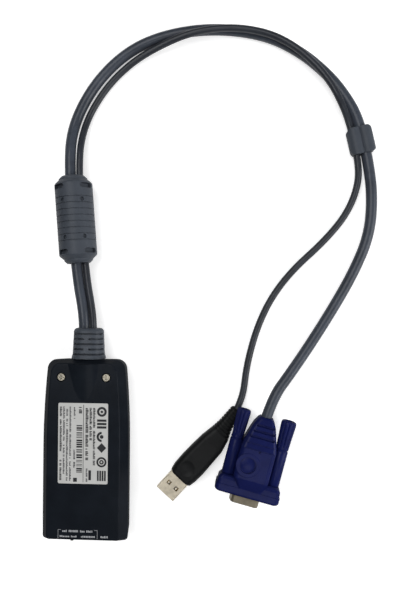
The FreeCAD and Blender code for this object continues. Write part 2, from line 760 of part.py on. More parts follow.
def ferrite_moulding():
    h, band, r = ferrite_half_length, ferrite_band, ferrite_radius
    half = [(0, -h), (ferrite_end_radius, -h), (ferrite_collar_radius, -h + 1.4),
            (ferrite_collar_radius, -h + 2.0), (r - 0.5, -band - 0.8), (r, -band),
            (r, band), (r - 0.5, band + 0.8), (ferrite_collar_radius, h - 2.0),
            (ferrite_collar_radius, h - 1.4), (ferrite_end_radius, h), (0, h)]
    points = [Vector(x, y, 0) for x, y in half]
    body = Part.Face(Part.makePolygon(points + points[:1])).revolve(Vector(0, 0, 0), Vector(0, 1, 0), 360)
    cuts = []
    for index in range(ferrite_groove_count):
        y = (index - (ferrite_groove_count - 1) / 2) * ferrite_groove_pitch
        side = ferrite_groove_width / 2
        ring = cylinder(r + 1, Vector(0, y - side, 0), Vector(0, y + side, 0))
        cuts.append(ring.cut(cylinder(r - ferrite_groove_depth, Vector(0, y - 1, 0), Vector(0, y + 1, 0))))
    hole_y = (ferrite_groove_count - 2) / 2 * ferrite_groove_pitch
    for end in (-1, 1):
        for angle in ferrite_hole_angles:
            hole = cylinder(ferrite_hole_radius, Vector(0, end * hole_y, r - ferrite_hole_depth),
                            Vector(0, end * hole_y, r + 1))
            hole.rotate(Vector(0, 0, 0), Vector(0, 1, 0), angle)
            cuts.append(hole)
        for angle in ferrite_slot_angles:
            x, y, z = ferrite_slot_width / 2, ferrite_slot_height / 2, r - ferrite_slot_depth
            slot = box(-x, x, end * ferrite_slot_offset - y, end * ferrite_slot_offset + y, z, r + 1)
            upright = [e for e in slot.Edges if abs(e.BoundBox.ZLength - (r + 1 - z)) < 1e-4]
            slot = slot.makeFillet(ferrite_slot_height / 2 - 0.05, upright)
            slot.rotate(Vector(0, 0, 0), Vector(0, 1, 0), angle)
            cuts.append(slot)
    body = body.cut(Part.makeCompound(cuts))
    body = body.cut(ferrite_core_shape(fit_gap))
    body = body.cut(cord_bores(h + 1, ferrite_video_offset, ferrite_usb_offset))
    return placed(body, ferrite_centre, ferrite_angle)


def ferrite_core():
    return placed(ferrite_core_shape(), ferrite_centre, ferrite_angle)


def cord_clip():
    lobes = []
    half = clip_length / 2
    for side in (-1, 1):
        x = side * clip_lobe_offset
        lobes.append(cylinder(clip_lobe_radius, Vector(x, -half, 0), Vector(x, half, 0)))
    sole = box(-clip_lobe_offset, clip_lobe_offset, -half, half, -clip_lobe_radius, 0)
    body = fused(lobes + [sole])
    reach = clip_lobe_offset + clip_lobe_radius
    plan = box(-reach, reach, -half, half, -clip_lobe_radius, clip_lobe_radius)
    upright = [e for e in plan.Edges if abs(e.BoundBox.ZLength - 2 * clip_lobe_radius) < 1e-4]
    body = body.common(plan.makeFillet(clip_corner, upright))
    body = body.cut(cord_bores(half + 1, clip_video_offset, clip_usb_offset))
    return placed(body, clip_centre, clip_angle)


def usb_overmould():
    """Moulding with a round finger dish and ribs, whose tail bends a little towards the cord."""
    body = loft(usb_stations, usb_corner)
    ribs = []
    for index in range(usb_rib_count):
        y = usb_rib_start + index * usb_rib_pitch
        w, t, x, z = station_at(usb_stations, y)
        core = across(rounded_rectangle(w - usb_rib_depth, t - usb_rib_depth, usb_corner, y - 1, x, z), 2)
        ribs.append(box(-15, 15, y - usb_rib_width / 2, y + usb_rib_width / 2, -15, 15).cut(core))
    body = body.cut(Part.makeCompound(ribs))
    sphere_radius = (usb_dish_radius ** 2 + usb_dish_depth ** 2) / (2 * usb_dish_depth)
    dish_centre = Vector(usb_dish_x, usb_dish_y, usb_body_half_height + sphere_radius - usb_dish_depth)
    body = body.cut(Part.makeSphere(sphere_radius, dish_centre, Vector(1, 0, 0)))
    w, t = usb_shell_width / 2 + press_gap, usb_shell_height / 2 + press_gap
    root = across(rounded_rectangle(w, t, usb_shell_corner, -0.5), usb_shell_root + 0.5 + press_gap)
    return placed(body.cut(root), usb_place, usb_angle).cut(cord_seat(usb_route, usb_diameter))


def usb_shell():
    w, t = usb_shell_width / 2, usb_shell_height / 2
    depth = usb_shell_reach + usb_shell_root
    tube = across(rounded_rectangle(w, t, usb_shell_corner, -usb_shell_reach), depth)
    tube = tube.cut(across(rounded_rectangle(w - usb_metal, t - usb_metal, usb_shell_corner - usb_metal,
                                             -usb_shell_reach - 1), depth + 2))
    half = usb_window / 2
    for side in (-1, 1):
        x = side * usb_window_x
        tube = tube.cut(box(x - half, x + half, usb_window_y - half, usb_window_y + half, -t - 1, t + 1))
    return placed(tube, usb_place, usb_angle)


def usb_tongue_top():
    return -usb_shell_height / 2 + usb_metal + usb_tongue_height


def usb_tongue():
    w, t = usb_shell_width / 2 - usb_metal - 0.03, usb_shell_height / 2 - usb_metal - 0.03
    front = -usb_shell_reach + usb_tongue_recess
    block = box(-w, w, front, usb_shell_root, -t, usb_tongue_top())
    block = block.makeChamfer(0.4, [e for e in block.Edges if abs(e.BoundBox.YMax - front) < 1e-4])
    heel = box(-w + 0.4, w - 0.4, -1.0, usb_shell_root, -t + 0.4, t)
    sides = [e for e in block.Edges if abs(e.BoundBox.ZMax + t) < 1e-4 and e.BoundBox.YLength > 5]
    block = block.makeChamfer(0.2, sides)
    return placed(fused([block, heel]), usb_place, usb_angle)


def usb_contacts():
    top = usb_tongue_top()
    strips = []
    for index in range(usb_contact_count):
        x = (index - (usb_contact_count - 1) / 2) * usb_contact_pitch
        first = -usb_shell_reach + (1.4 if index in (0, usb_contact_count - 1) else 2.4)
        half = usb_contact_width / 2
        strips.append(box(x - half, x + half, first, -1.0, top, top + usb_contact_height))
    return placed(Part.makeCompound(strips), usb_place, usb_angle)


def hood_slot(x0, x1, y, width, depth):
    """Groove in the upper face of the hood, with round ends when it is deep."""
    height = station_at(hood_stations, y)[1]
    slot = box(x0, x1, y - width / 2, y + width / 2, height - depth, hood_half_height + 1)
    if depth < width:
        return slot
    upright = [e for e in slot.Edges if abs(e.BoundBox.ZLength - slot.BoundBox.ZLength) < 1e-4]
    return slot.makeFillet(width / 2 - 0.05, upright)


def video_hood():
    half, tall = hood_lip_width / 2, hood_lip_height / 2
    lip = loft([(0.0, half - 1.6, tall - 0.8, 0, 0), (0.5, half - 0.7, tall - 0.2, 0, 0),
                (1.3, half, tall, 0, 0), (hood_lip_depth, half, tall, 0, 0)], 2.2)
    shoulder = loft([(hood_lip_depth - 0.5, half - 0.4, tall - 0.35, 0, 0),
                     (7.2, half - 0.5, tall - 0.4, 0, 0), (8.6, half - 1.3, tall - 0.9, 0, 0),
                     (9.4, half - 2.2, tall - 2.0, 0, 0)], 2.0)
    middle, thick = -(hood_web_top + hood_web_foot) / 2, (hood_web_foot - hood_web_top) / 2
    web = loft([(8.0, hood_web_half_width, thick, 0, middle),
                (19.0, hood_web_half_width - 0.8, thick, 0, middle),
                (hood_web_end, hood_stations[1][1], thick, 0, middle)], 1.0)
    body = fused([lip, shoulder, web, loft(hood_stations, hood_corner)])
    cuts = [hood_slot(x0, x1, y, hood_slot_width, hood_slot_depth)
            for y, (x0, x1) in zip(hood_slot_ys, hood_slot_spans)]
    for y in hood_line_ys:
        reach = station_at(hood_stations, y)[0] - 1.2
        cuts.append(hood_slot(-reach, reach, y, hood_line_width, hood_line_depth))
    top = hood_half_height
    hole = Vector(hood_hole[0], hood_hole[1], top - hood_hole_depth)
    cuts.append(cylinder(hood_hole_radius, hole, Vector(hole.x, hole.y, top + 1)))
    body = body.cut(Part.makeCompound(cuts))
    ring = cylinder(ring_radius, Vector(ring_x, ring_y, top - 2), Vector(ring_x, ring_y, top + ring_rise))
    ring = ring.makeFillet(0.25, edges_at_height(ring, top + ring_rise))
    body = body.fuse(ring)
    bowl = cylinder(dish_radius, Vector(ring_x, ring_y, top - dish_depth), Vector(ring_x, ring_y, top + 2))
    dome_centre = Vector(ring_x, ring_y, top - dish_depth + 0.45 - dish_dome_radius)
    dome = Part.makeSphere(dish_dome_radius, dome_centre, Vector(1, 0, 0))
    body = body.cut(bowl.cut(dome))
    for side in (-1, 1):
        x = side * thumb_spacing / 2
        body = body.cut(cylinder(thumb_radius + moving_gap + 0.2, Vector(x, thumb_shoulder - moving_gap, 0),
                                 Vector(x, hood_length, 0)))
        body = body.cut(cylinder(stud_radius + stud_gap,
                                 Vector(x, -1, 0), Vector(x, thumb_shoulder + 1, 0)))
    rear = plate_recess + plate_thickness
    pocket = across(rounded_rectangle(plate_width / 2 + fit_gap, plate_height / 2 + fit_gap,
                                      plate_corner, -1), 1 + rear)
    cavity = across(insulator_outline(rear - 0.01, fit_gap), insulator_depth + 0.01 + fit_gap)
    body = placed(body.cut(pocket).cut(cavity), vga_place, vga_angle)
    return body.cut(cord_seat(video_route, video_diameter))


def dsub_outline(y, inset):
    """D shape across the Y axis, wide side down, as a rounded four-sided outline."""
    slant = (dsub_wide_half - dsub_narrow_half) / (2 * dsub_half_height)
    h = dsub_half_height - inset
    wide = dsub_wide_half - inset + slant * inset
    narrow = dsub_narrow_half - inset - slant * inset
    corners = [Vector(-wide, y, -h), Vector(wide, y, -h), Vector(narrow, y, h), Vector(-narrow, y, h)]
    radius = dsub_corner - inset
    edges = []
    count = len(corners)
    cuts = []
    for index, corner in enumerate(corners):
        before = (corners[index - 1] - corner).normalize()
        after = (corners[(index + 1) % count] - corner).normalize()
        half_turn = before.getAngle(after) / 2
        setback = radius / math.tan(half_turn)
        centre = corner + (before + after).normalize() * (radius / math.sin(half_turn))
        middle = centre + (corner - centre).normalize() * radius
        cuts.append((corner + before * setback, middle, corner + after * setback))
    for index, (start, middle, end) in enumerate(cuts):
        edges.append(Part.Arc(start, middle, end).toShape())
        edges.append(Part.LineSegment(end, cuts[(index + 1) % count][0]).toShape())
    return Part.Wire(edges)


def insulator_outline(y, gap=0.0):
    return rounded_rectangle(dsub_narrow_half + gap, dsub_half_height - dsub_metal + gap, 1.0, y)


def video_shell():
    """Flange plate with the D-shaped collar that stands out of it, in one piece of metal."""
    front = plate_recess
    plate = across(rounded_rectangle(plate_width / 2, plate_height / 2, plate_corner, front),
                   plate_thickness)
    collar = across(dsub_outline(front - dsub_reach, 0.0), dsub_reach + plate_thickness)
    shell = fused([plate, collar])
    shell = shell.cut(across(dsub_outline(front - dsub_reach - 1, dsub_metal),
                             dsub_reach + plate_thickness + 2))
    for side in (-1, 1):
        x = side * thumb_spacing / 2
        shell = shell.cut(cylinder(stud_radius + stud_gap,
                                   Vector(x, front - 1, 0), Vector(x, front + 3, 0)))
    return placed(shell, vga_place, vga_angle)


def pin_places():
    for row in range(pin_rows):
        z = ((pin_rows - 1) / 2 - row) * pin_row_pitch
        shift = -pin_pitch / 4 if row % 2 else pin_pitch / 4
        for index in range(pins_per_row):
            yield (index - (pins_per_row - 1) / 2) * pin_pitch + shift, z


def video_insulator():
    """Block in the collar's root that holds the pins, with its rear part inside the hood."""
    front = plate_recess - insulator_rise
    rear = plate_recess + plate_thickness
    face = across(dsub_outline(front, dsub_metal + 0.05), rear - front)
    block = across(insulator_outline(rear), insulator_depth)
    body = fused([face, block])
    holes = [cylinder(pin_radius + pin_hole_gap, Vector(x, front - 1, z), Vector(x, front + pin_root, z))
             for x, z in pin_places()]
    return placed(body.cut(Part.makeCompound(holes)), vga_place, vga_angle)


def video_pins():
    front = plate_recess - insulator_rise
    pins = []
    for x, z in pin_places():
        pins.append(cylinder(pin_radius, Vector(x, plate_recess - pin_reach, z),
                             Vector(x, front + pin_root, z)))
    return placed(Part.makeCompound(pins), vga_place, vga_angle)


def thumbscrew_grip(side):
    """Long plastic sleeve: a plain shank and a fluted, slotted grip that widens to its end."""
    x = side * thumb_spacing / 2
    profile = [(0, thumb_shoulder), (thumb_radius - 0.4, thumb_shoulder),
               (thumb_radius, thumb_shoulder + 0.4), (thumb_radius, thumb_grip_start - 0.3),
               (thumb_radius - 0.15, thumb_grip_start),
               (thumb_grip_radius, thumb_grip_start + 0.2), (thumb_end_radius, thumb_length - 1.0),
               (thumb_end_radius - 0.7, thumb_length), (0, thumb_length)]
    points = [Vector(r, y, 0) for r, y in profile]
    grip = Part.Face(Part.makePolygon(points + points[:1])).revolve(Vector(0, 0, 0), Vector(0, 1, 0), 360)
    flutes = []
    for index in range(thumb_flute_count):
        near = Vector(thumb_grip_radius + 0.3, thumb_grip_start + 0.6, 0)
        far = Vector(thumb_end_radius + 0.25, thumb_length + 1, 0)
        flute = cylinder(thumb_flute_radius, near, far)
        flute.rotate(Vector(0, 0, 0), Vector(0, 1, 0), 360.0 * index / thumb_flute_count)
        flutes.append(flute)
    grip = grip.cut(Part.makeCompound(flutes))
    half = thumb_slot_width / 2
    grip = grip.cut(box(-half, half, thumb_length - thumb_slot_depth, thumb_length + 1, -6, 6))
    grip = grip.cut(cylinder(stud_radius, Vector(0, thumb_shoulder - 1, 0),
                             Vector(0, thumb_shoulder + stud_root, 0)))
    grip.translate(Vector(x, 0, 0))
    return placed(grip, vga_place, vga_angle)


def thumbscrew_stud(side):
    x = side * thumb_spacing / 2
    stud = cylinder(stud_radius, Vector(x, stud_tip, 0), Vector(x, thumb_shoulder + stud_root, 0))
    stud = stud.makeChamfer(0.4, [e for e in stud.Edges if abs(e.BoundBox.YMax - stud_tip) < 1e-4])
    return placed(stud, vga_place, vga_angle)


def cord_path(name, route):
    """Straight runs joined by arcs as large as the runs allow."""
    points = [Vector(*p) for p in route]
    reach = 0.45
    edges, radii = [], []
    start = points[0]
    for before, corner, after in zip(points, points[1:], points[2:]):
        back, ahead = before - corner, after - corner
        setback = reach * min(back.Length, ahead.Length)
        turn = math.pi - back.getAngle(ahead)
        radius = setback / math.tan(turn / 2)
        radii.append(round(radius, 1))
        back.normalize()
        ahead.normalize()
        inward = (back + ahead).normalize()
        middle = corner + inward * (radius / math.cos(turn / 2) - radius)
        first, last = corner + back * setback, corner + ahead * setback
        edges += [Part.LineSegment(start, first).toShape(), Part.Arc(first, middle, last).toShape()]
        start = last
    edges.append(Part.LineSegment(start, points[-1]).toShape())
    print(name, "arc radii", radii)
    return Part.Wire(edges)


def cord(name, route, diameter):
    path = cord_path(name, route)
    start = path.Edges[0]
    section = Part.Wire(Part.makeCircle(diameter / 2, start.valueAt(start.FirstParameter),
                                        start.tangentAt(start.FirstParameter)))
    tube = path.makePipeShell([section], True, False)
    expected = math.pi * diameter ** 2 / 4 * path.Length
    print(name, "length", round(path.Length, 1), "volume ratio", round(tube.Volume / expected, 5))
    return tube


def main():
    os.makedirs("parts", exist_ok=True)
    export("label_cover", label_cover())
    export("face_cover", face_cover())
    export("rating_label", rating_label())
    export("case_screw_left", case_screw(-1))
    export("case_screw_right", case_screw(1))
    export("circuit_board", circuit_board())
    export("jack_shield", jack_shield())
    export("jack_housing", jack_housing())
    export("jack_contacts", jack_contacts())
    export("switch_base", switch_base())
    export("switch_frame", switch_frame())
    export("switch_slider", switch_slider())
    export("link_light", link_light())
    export("main_chip", chip(-3.0, -6.0, 14.0, 14.0, 1.4))
    export("memory_chip", chip(11.0, -8.0, 8.0, 5.0, 1.6))
    export("video_chip", chip(2.0, 14.0, 10.0, 10.0, 1.2, below=False))
    export("network_transformer", chip(-2.0, -22.0, 12.0, 7.0, 2.6, below=False))
    export("crystal", chip(11.5, 4.0, 3.6, 10.0, 3.4))
    export("video_header", header(video_header_x, 7))
    export("usb_header", header(usb_header_x, 4))
    export("video_wires", wire_bundle(video_header_x, 7, video_bundle_radius))
    export("usb_wires", wire_bundle(usb_header_x, 4, usb_bundle_radius))
    export("cord_boot", cord_boot())
    export("ferrite_moulding", ferrite_moulding())
    export("ferrite_core", ferrite_core())
    export("cord_clip", cord_clip())
    export("usb_overmould", usb_overmould())
    export("usb_shell", usb_shell())
    export("usb_tongue", usb_tongue())
    export("usb_contacts", usb_contacts())
    export("video_hood", video_hood())
    export("video_shell", video_shell())
    export("video_insulator", video_insulator())
    export("video_pins", video_pins())
    for word, side in (("left", -1), ("right", 1)):
        export("thumbscrew_grip_" + word, thumbscrew_grip(side))
        export("thumbscrew_stud_" + word, thumbscrew_stud(side))
    export("video_cord", cord("video_cord", video_route, video_diameter))
    export("usb_cord", cord("usb_cord", usb_route, usb_diameter))


main()
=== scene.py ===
import json
import math
import random

import bmesh
import bpy
from mathutils import Matrix, Vector


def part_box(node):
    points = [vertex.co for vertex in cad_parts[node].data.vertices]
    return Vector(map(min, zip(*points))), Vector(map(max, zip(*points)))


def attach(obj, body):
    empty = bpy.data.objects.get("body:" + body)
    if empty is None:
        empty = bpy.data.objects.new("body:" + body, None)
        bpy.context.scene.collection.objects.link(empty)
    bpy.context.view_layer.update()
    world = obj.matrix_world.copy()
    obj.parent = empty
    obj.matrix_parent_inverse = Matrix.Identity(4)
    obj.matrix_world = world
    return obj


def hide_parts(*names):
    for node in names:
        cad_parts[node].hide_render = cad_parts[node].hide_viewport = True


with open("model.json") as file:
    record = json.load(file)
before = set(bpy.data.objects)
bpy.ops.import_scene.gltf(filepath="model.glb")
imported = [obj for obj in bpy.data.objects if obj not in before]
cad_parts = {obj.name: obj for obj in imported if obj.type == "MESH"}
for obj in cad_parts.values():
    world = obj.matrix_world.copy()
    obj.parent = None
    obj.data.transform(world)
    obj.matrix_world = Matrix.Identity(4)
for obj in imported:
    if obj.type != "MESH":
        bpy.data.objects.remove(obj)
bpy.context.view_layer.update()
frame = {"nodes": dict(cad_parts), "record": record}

nodes = frame["nodes"]
print("frame loaded:", len(nodes), "nodes")


class Field:
    # a socket in an expression: each operator adds the Math node that works it out
    def __init__(self, shader, socket):
        self.shader = shader
        self.socket = socket

    def math(self, operation, first, second):
        node = self.shader.add("Math", {"operation": operation}, {0: first, 1: second})
        return Field(self.shader, node.outputs[0])

    def __add__(self, other):
        return self.math("ADD", self, other)

    def __mul__(self, other):
        return self.math("MULTIPLY", self, other)

    __radd__ = __add__
    __rmul__ = __mul__


def linear(shade):
    # a colour as a paint program writes it, 0 to 255, as light
    parts = [c / 255 for c in shade]
    return [c / 12.92 if c <= 0.04045 else ((c + 0.055) / 1.055) ** 2.4 for c in parts] + [1.0]


def scaled(shade, share):
    return [min(1.0, c * share) for c in linear(shade)[:3]] + [1.0]


class Shader:
    def __init__(self, name, fixed):
        self.material = bpy.data.materials.new(name)
        self.material.use_nodes = True
        self.tree = self.material.node_tree
        self.surface = self.tree.nodes["Principled BSDF"]
        self.place = self.add("TexCoord", {}, {}).outputs["Object"]
        self.height = None
        self.edge = None
        for key, value in fixed.items():
            self.surface.inputs[key].default_value = value

    def add(self, kind, settings, inputs):
        node = self.tree.nodes.new("ShaderNode" + kind)
        for key, value in settings.items():
            setattr(node, key, value)
        for key, value in inputs.items():
            value = value.socket if isinstance(value, Field) else value
            if isinstance(value, bpy.types.NodeSocket):
                self.tree.links.new(value, node.inputs[key])
            else:
                node.inputs[key].default_value = value
        return node

    def noise(self, size, detail=2.0, stretch=(1.0, 1.0, 1.0), rough=0.5):
        # size is that of one blotch, in metres
        place = self.add("Mapping", {}, {"Vector": self.place, "Scale": stretch}).outputs[0]
        node = self.add("TexNoise", {}, {"Vector": place, "Scale": 1 / size, "Detail": detail,
                                         "Roughness": rough})
        return Field(self, node.outputs["Fac"])

    def step(self, field, low, high):
        node = self.add("MapRange", {"interpolation_type": "SMOOTHSTEP"},
                        {"Value": field, "From Min": low, "From Max": high})
        return Field(self, node.outputs[0])

    def blend(self, factor, first, second):
        node = self.add("Mix", {"data_type": "RGBA"}, {0: factor, 6: first, 7: second})
        return node.outputs[2]

    def relief(self, field, depth):
        # depth in metres, added to what was there before
        raised = field * depth
        self.height = raised if self.height is None else self.height + raised

    def soften(self, radius):
        # edges that catch the light as if they were rounded by this radius, in metres
        self.edge = self.add("Bevel", {"samples": 6}, {"Radius": radius}).outputs[0]

    def done(self, varying):
        for key, value in varying.items():
            value = value.socket if isinstance(value, Field) else value
            self.tree.links.new(value, self.surface.inputs[key])
        normal = {"Normal": self.edge} if self.edge else {}
        bump = self.add("Bump", {}, {"Height": self.height, "Strength": 1.0, "Distance": 1.0} | normal)
        self.tree.links.new(bump.outputs[0], self.surface.inputs["Normal"])
        return self.material


def moulded(name, look):
    # moulded plastic or rubber: spark-eroded grain, handling marks and a little dust
    fixed = {"Coat Weight": look.get("coat", 0.0), "Coat Roughness": 0.25,
             "Specular IOR Level": look.get("gleam", 0.5)}
    shader = Shader(name, fixed)
    shader.soften(look.get("edge", 0.0003))
    fine = shader.noise(look["grain"])
    broad = shader.noise(0.009, 3.0)
    specks = shader.step(shader.noise(0.0011, 4.0, rough=0.75), 0.66, 0.74)
    mottle = look.get("mottle", 0.12)
    body = shader.blend(shader.step(broad * 0.7 + fine * 0.3, 0.35, 0.65),
                        scaled(look["shade"], 1 - mottle), scaled(look["shade"], 1 + mottle))
    colour = shader.blend(specks * look.get("dust", 0.03), body, linear(look.get("pale", (150, 152, 156))))
    shader.relief(fine, look["relief"])
    shader.relief(shader.noise(0.004, 1.0), look["relief"] * 1.5)
    roughness = broad * 0.16 + fine * 0.10 + (look["rough"] - 0.13)
    return shader.done({"Base Color": colour, "Roughness": roughness})


def cordJacket(name, look):
    # extruded jacket: fine grain and a soft wave from the conductors inside
    shader = Shader(name, {"Specular IOR Level": look["gleam"], "Coat Weight": look["coat"],
                           "Coat Roughness": 0.16})
    flow = shader.noise(0.0016, 3.0)
    broad = shader.noise(0.013)
    colour = shader.blend(shader.step(broad * 0.75 + flow * 0.25, 0.3, 0.7),
                          scaled(look["shade"], 0.82), scaled(look["shade"], 1.2))
    shader.relief(shader.noise(0.0003), 0.000012)
    shader.relief(shader.noise(0.005, 1.0), 0.00009)
    roughness = broad * 0.2 + flow * 0.12 + (look["rough"] - 0.16)
    return shader.done({"Base Color": colour, "Roughness": roughness})


def plated(name, look):
    # plated sheet: fine rubs from use and dull finger marks
    shader = Shader(name, {"Metallic": look.get("metal", 1.0)})
    shader.soften(0.00015)
    rubs = shader.noise(0.0012, 3.0, (1.0, 14.0, 1.0))
    marks = shader.noise(0.004, 4.0, rough=0.65)
    colour = shader.blend(shader.step(marks, 0.4, 0.7), linear(look["shade"]), scaled(look["shade"], 0.8))
    shader.relief(rubs, 0.000005)
    roughness = marks * 0.22 + rubs * 0.16 + (look["rough"] - 0.19)
    return shader.done({"Base Color": colour, "Roughness": roughness})


def film(name, look):
    # printed film and inks: fine fibre, slight yellowing in patches
    shader = Shader(name, {"Specular IOR Level": 0.35})
    fibre = shader.noise(0.00025, 3.0)
    broad = shader.noise(0.012)
    colour = shader.blend(shader.step(broad * 0.6 + fibre * 0.4, 0.3, 0.7),
                          scaled(look["shade"], 0.9), linear(look["shade"]))
    shader.relief(fibre, 0.000003)
    return shader.done({"Base Color": colour, "Roughness": broad * 0.15 + look["rough"]})


def lamp(name, look):
    shader = Shader(name, {"Transmission Weight": 0.55, "IOR": 1.5})
    milky = shader.noise(0.0006)
    colour = shader.blend(shader.step(milky, 0.3, 0.7), scaled(look["shade"], 0.8), linear(look["shade"]))
    shader.relief(milky, 0.000003)
    return shader.done({"Base Color": colour, "Roughness": milky * 0.1 + 0.08})


finishes = {
    "case": moulded("caseBlack", {"shade": (23, 27, 33), "rough": 0.42, "grain": 0.00022,
                                  "relief": 0.000008, "gleam": 0.0, "coat": 0.09, "dust": 0.04}),
    "soft_grey": moulded("softGrey", {"shade": (66, 71, 79), "rough": 0.6, "grain": 0.0003,
                                      "relief": 0.000012, "gleam": 0.14, "coat": 0.08, "mottle": 0.06}),
    "cord_grey": cordJacket("cordGrey", {"shade": (60, 65, 74), "rough": 0.5, "gleam": 0.1, "coat": 0.25}),
    "usb_grey": cordJacket("usbGrey", {"shade": (45, 48, 54), "rough": 0.48, "gleam": 0.1, "coat": 0.25}),
    "soft_black": moulded("softBlack", {"shade": (20, 21, 22), "rough": 0.5, "grain": 0.00026,
                                        "relief": 0.00001, "gleam": 0.1, "coat": 0.05, "mottle": 0.2,
                                        "edge": 0.0008}),
    "video_blue": moulded("videoBlue", {"shade": (21, 27, 74), "rough": 0.46, "grain": 0.00024,
                                        "relief": 0.000008, "gleam": 0.0, "coat": 0.15,
                                        "pale": (90, 96, 150), "edge": 0.0007}),
    "black_plastic": moulded("blackPlastic", {"shade": (18, 18, 20), "rough": 0.4, "grain": 0.0002,
                                              "relief": 0.000006, "edge": 0.0001}),
    "pale_plastic": moulded("palePlastic", {"shade": (214, 206, 184), "rough": 0.45, "grain": 0.0002,
                                            "relief": 0.000006, "mottle": 0.04, "edge": 0.0001}),
    "nickel": plated("nickel", {"shade": (206, 197, 178), "rough": 0.5, "metal": 0.8}),
    # darker nickel for the D shell: partly a duller, browner plating, partly painted shade from the hood
    # over it
    "dull_nickel": plated("dullNickelShaded", {"shade": (122, 115, 100), "rough": 0.5, "metal": 0.8}),
    "bright_nickel": plated("brightNickel", {"shade": (150, 145, 132), "rough": 0.36}),
    "tin": plated("tin", {"shade": (200, 200, 196), "rough": 0.42}),
    "gilt": plated("gilt", {"shade": (222, 184, 108), "rough": 0.3}),
    "board": moulded("boardGreen", {"shade": (20, 66, 38), "rough": 0.35, "grain": 0.0006, "relief": 0.00001,
                                    "coat": 0.3, "edge": 0.0001}),
    "chip": moulded("chipBlack", {"shade": (30, 30, 32), "rough": 0.55, "grain": 0.00015, "relief": 0.000008,
                                  "edge": 0.0001}),
    "lamp": lamp("clearLens", {"shade": (205, 220, 190)}),
    "wire": moulded("wireGrey", {"shade": (92, 92, 96), "rough": 0.5, "grain": 0.0003, "relief": 0.000006}),
    "ferrite": moulded("ferrite", {"shade": (44, 44, 46), "rough": 0.6, "grain": 0.0003, "relief": 0.00001}),
    "label": film("labelFilm", {"shade": (196, 196, 194), "rough": 0.4}),
    "dark_ink": film("darkInk", {"shade": (30, 30, 34), "rough": 0.45}),
    "grey_ink": film("greyInk", {"shade": (66, 66, 70), "rough": 0.45}),
    "white_ink": film("whiteInk", {"shade": (176, 178, 182), "rough": 0.45}),
}

slots = {part["node"]: part["material_slot"] for part in frame["record"]["subparts"]}


def paint(obj, slot):
    obj.data.materials.clear()
    obj.data.materials.append(finishes[slot])


# metal whose plating differs from the rest of its slot; the D shell's darker nickel is partly a duller
# plating, partly painted shade from the hood above it
ownFinish = {"video_shell": "dull_nickel", "case_screw_left": "bright_nickel",
             "case_screw_right": "bright_nickel"}
for nodeName, node in nodes.items():
    paint(node, ownFinish.get(nodeName, slots[nodeName]))
print("materials done:", len(finishes))


# metres, degrees and watts; the lens in millimetres
view = {"at": (0.07962, 0.0807, 0.346), "lean": 3.0, "turn": 0.5, "lens": 37.2, "near": 0.01}
studio = {
    "world": 0.03, "seen": 1.0, "aim": (0.06, 0.08, 0.0),
    "lights": {
        "keyLight": {"at": (-0.22, 0.42, 1.0), "size": 0.8, "power": 6.6},
        "fillLight": {"at": (0.75, -0.35, 0.7), "size": 0.6, "power": 1.6},
        "sheenLight": {"at": (-0.27, 0.02, 1.1), "size": 0.3, "power": 0.7},
        "sideLight": {"at": (0.7, -0.02, 0.3), "size": 0.5, "power": 3.2},
        "overLight": {"at": (0.12, -0.45, 1.15), "size": 0.5, "power": 1.6}}}
floorLook = {"size": 6.0, "shade": 0.8, "lift": 0.55, "drop": 0.00005}


def addCamera():
    data = bpy.data.cameras.new("camera")
    data.lens = view["lens"]
    data.clip_start = view["near"]
    camera = bpy.data.objects.new("camera", data)
    camera.location = view["at"]
    camera.rotation_euler = (0, math.radians(view["lean"]), math.radians(view["turn"]))
    bpy.context.scene.collection.objects.link(camera)
    bpy.context.scene.camera = camera


def addLight(name, spec):
    data = bpy.data.lights.new(name, "AREA")
    data.shape = "DISK"
    data.size = spec["size"]
    data.energy = spec["power"]
    light = bpy.data.objects.new(name, data)
    light.location = spec["at"]
    aim = Vector(studio["aim"]) - Vector(spec["at"])
    light.rotation_euler = aim.to_track_quat("-Z", "Y").to_euler()
    bpy.context.scene.collection.objects.link(light)


def addStudio():
    scene = bpy.context.scene
    scene.view_settings.view_transform = "Standard"
    world = bpy.data.worlds.new("studio")
    scene.world = world
    world.use_nodes = True
    tree = world.node_tree
    path = tree.nodes.new("ShaderNodeLightPath")
    seen = tree.nodes.new("ShaderNodeMath")
    seen.operation = "MULTIPLY_ADD"
    tree.links.new(path.outputs["Is Camera Ray"], seen.inputs[0])
    seen.inputs[1].default_value = studio["seen"] - studio["world"]
    seen.inputs[2].default_value = studio["world"]
    tree.nodes["Background"].inputs["Color"].default_value = (1, 1, 1, 1)
    tree.links.new(seen.outputs[0], tree.nodes["Background"].inputs["Strength"])
    for name, spec in studio["lights"].items():
        addLight(name, spec)


def addFloor():
    half = floorLook["size"] / 2
    mesh = bpy.data.meshes.new("floor")
    corners = [(-half, -half, 0), (half, -half, 0), (half, half, 0), (-half, half, 0)]
    mesh.from_pydata(corners, [], [(0, 1, 2, 3)])
    floor = bpy.data.objects.new("floor", mesh)
    floor.location.z = -floorLook["drop"]
    bpy.context.scene.collection.objects.link(floor)
    shade = floorLook["shade"]
    shader = Shader("floorWhite", {"Roughness": 0.9, "Base Color": (shade, shade, shade, 1),
                                   "Emission Color": (1, 1, 1, 1)})
    path = shader.add("LightPath", {}, {})
    seen = Field(shader, path.outputs["Is Camera Ray"]) + Field(shader, path.outputs["Is Glossy Ray"])
    seen = seen + Field(shader, path.outputs["Is Transmission Ray"])
    shader.tree.links.new((seen * floorLook["lift"]).socket, shader.surface.inputs["Emission Strength"])
    floor.data.materials.append(shader.material)


addCamera()
addStudio()
addFloor()
print("studio done")


# corners nearer to each other than this, in metres, become one
weld = 1e-7


class Place:
    # a frame of its own for a piece: along an axis that lies flat, with Z up, in millimetres
    def __init__(self, origin, along):
        self.origin = Vector(origin)
        self.along = Vector(along).normalized()
        self.side = self.along.cross(Vector((0, 0, 1)))

    def at(self, x, y, z):
        return self.origin + (self.side * x + self.along * y + Vector((0, 0, z))) / 1000


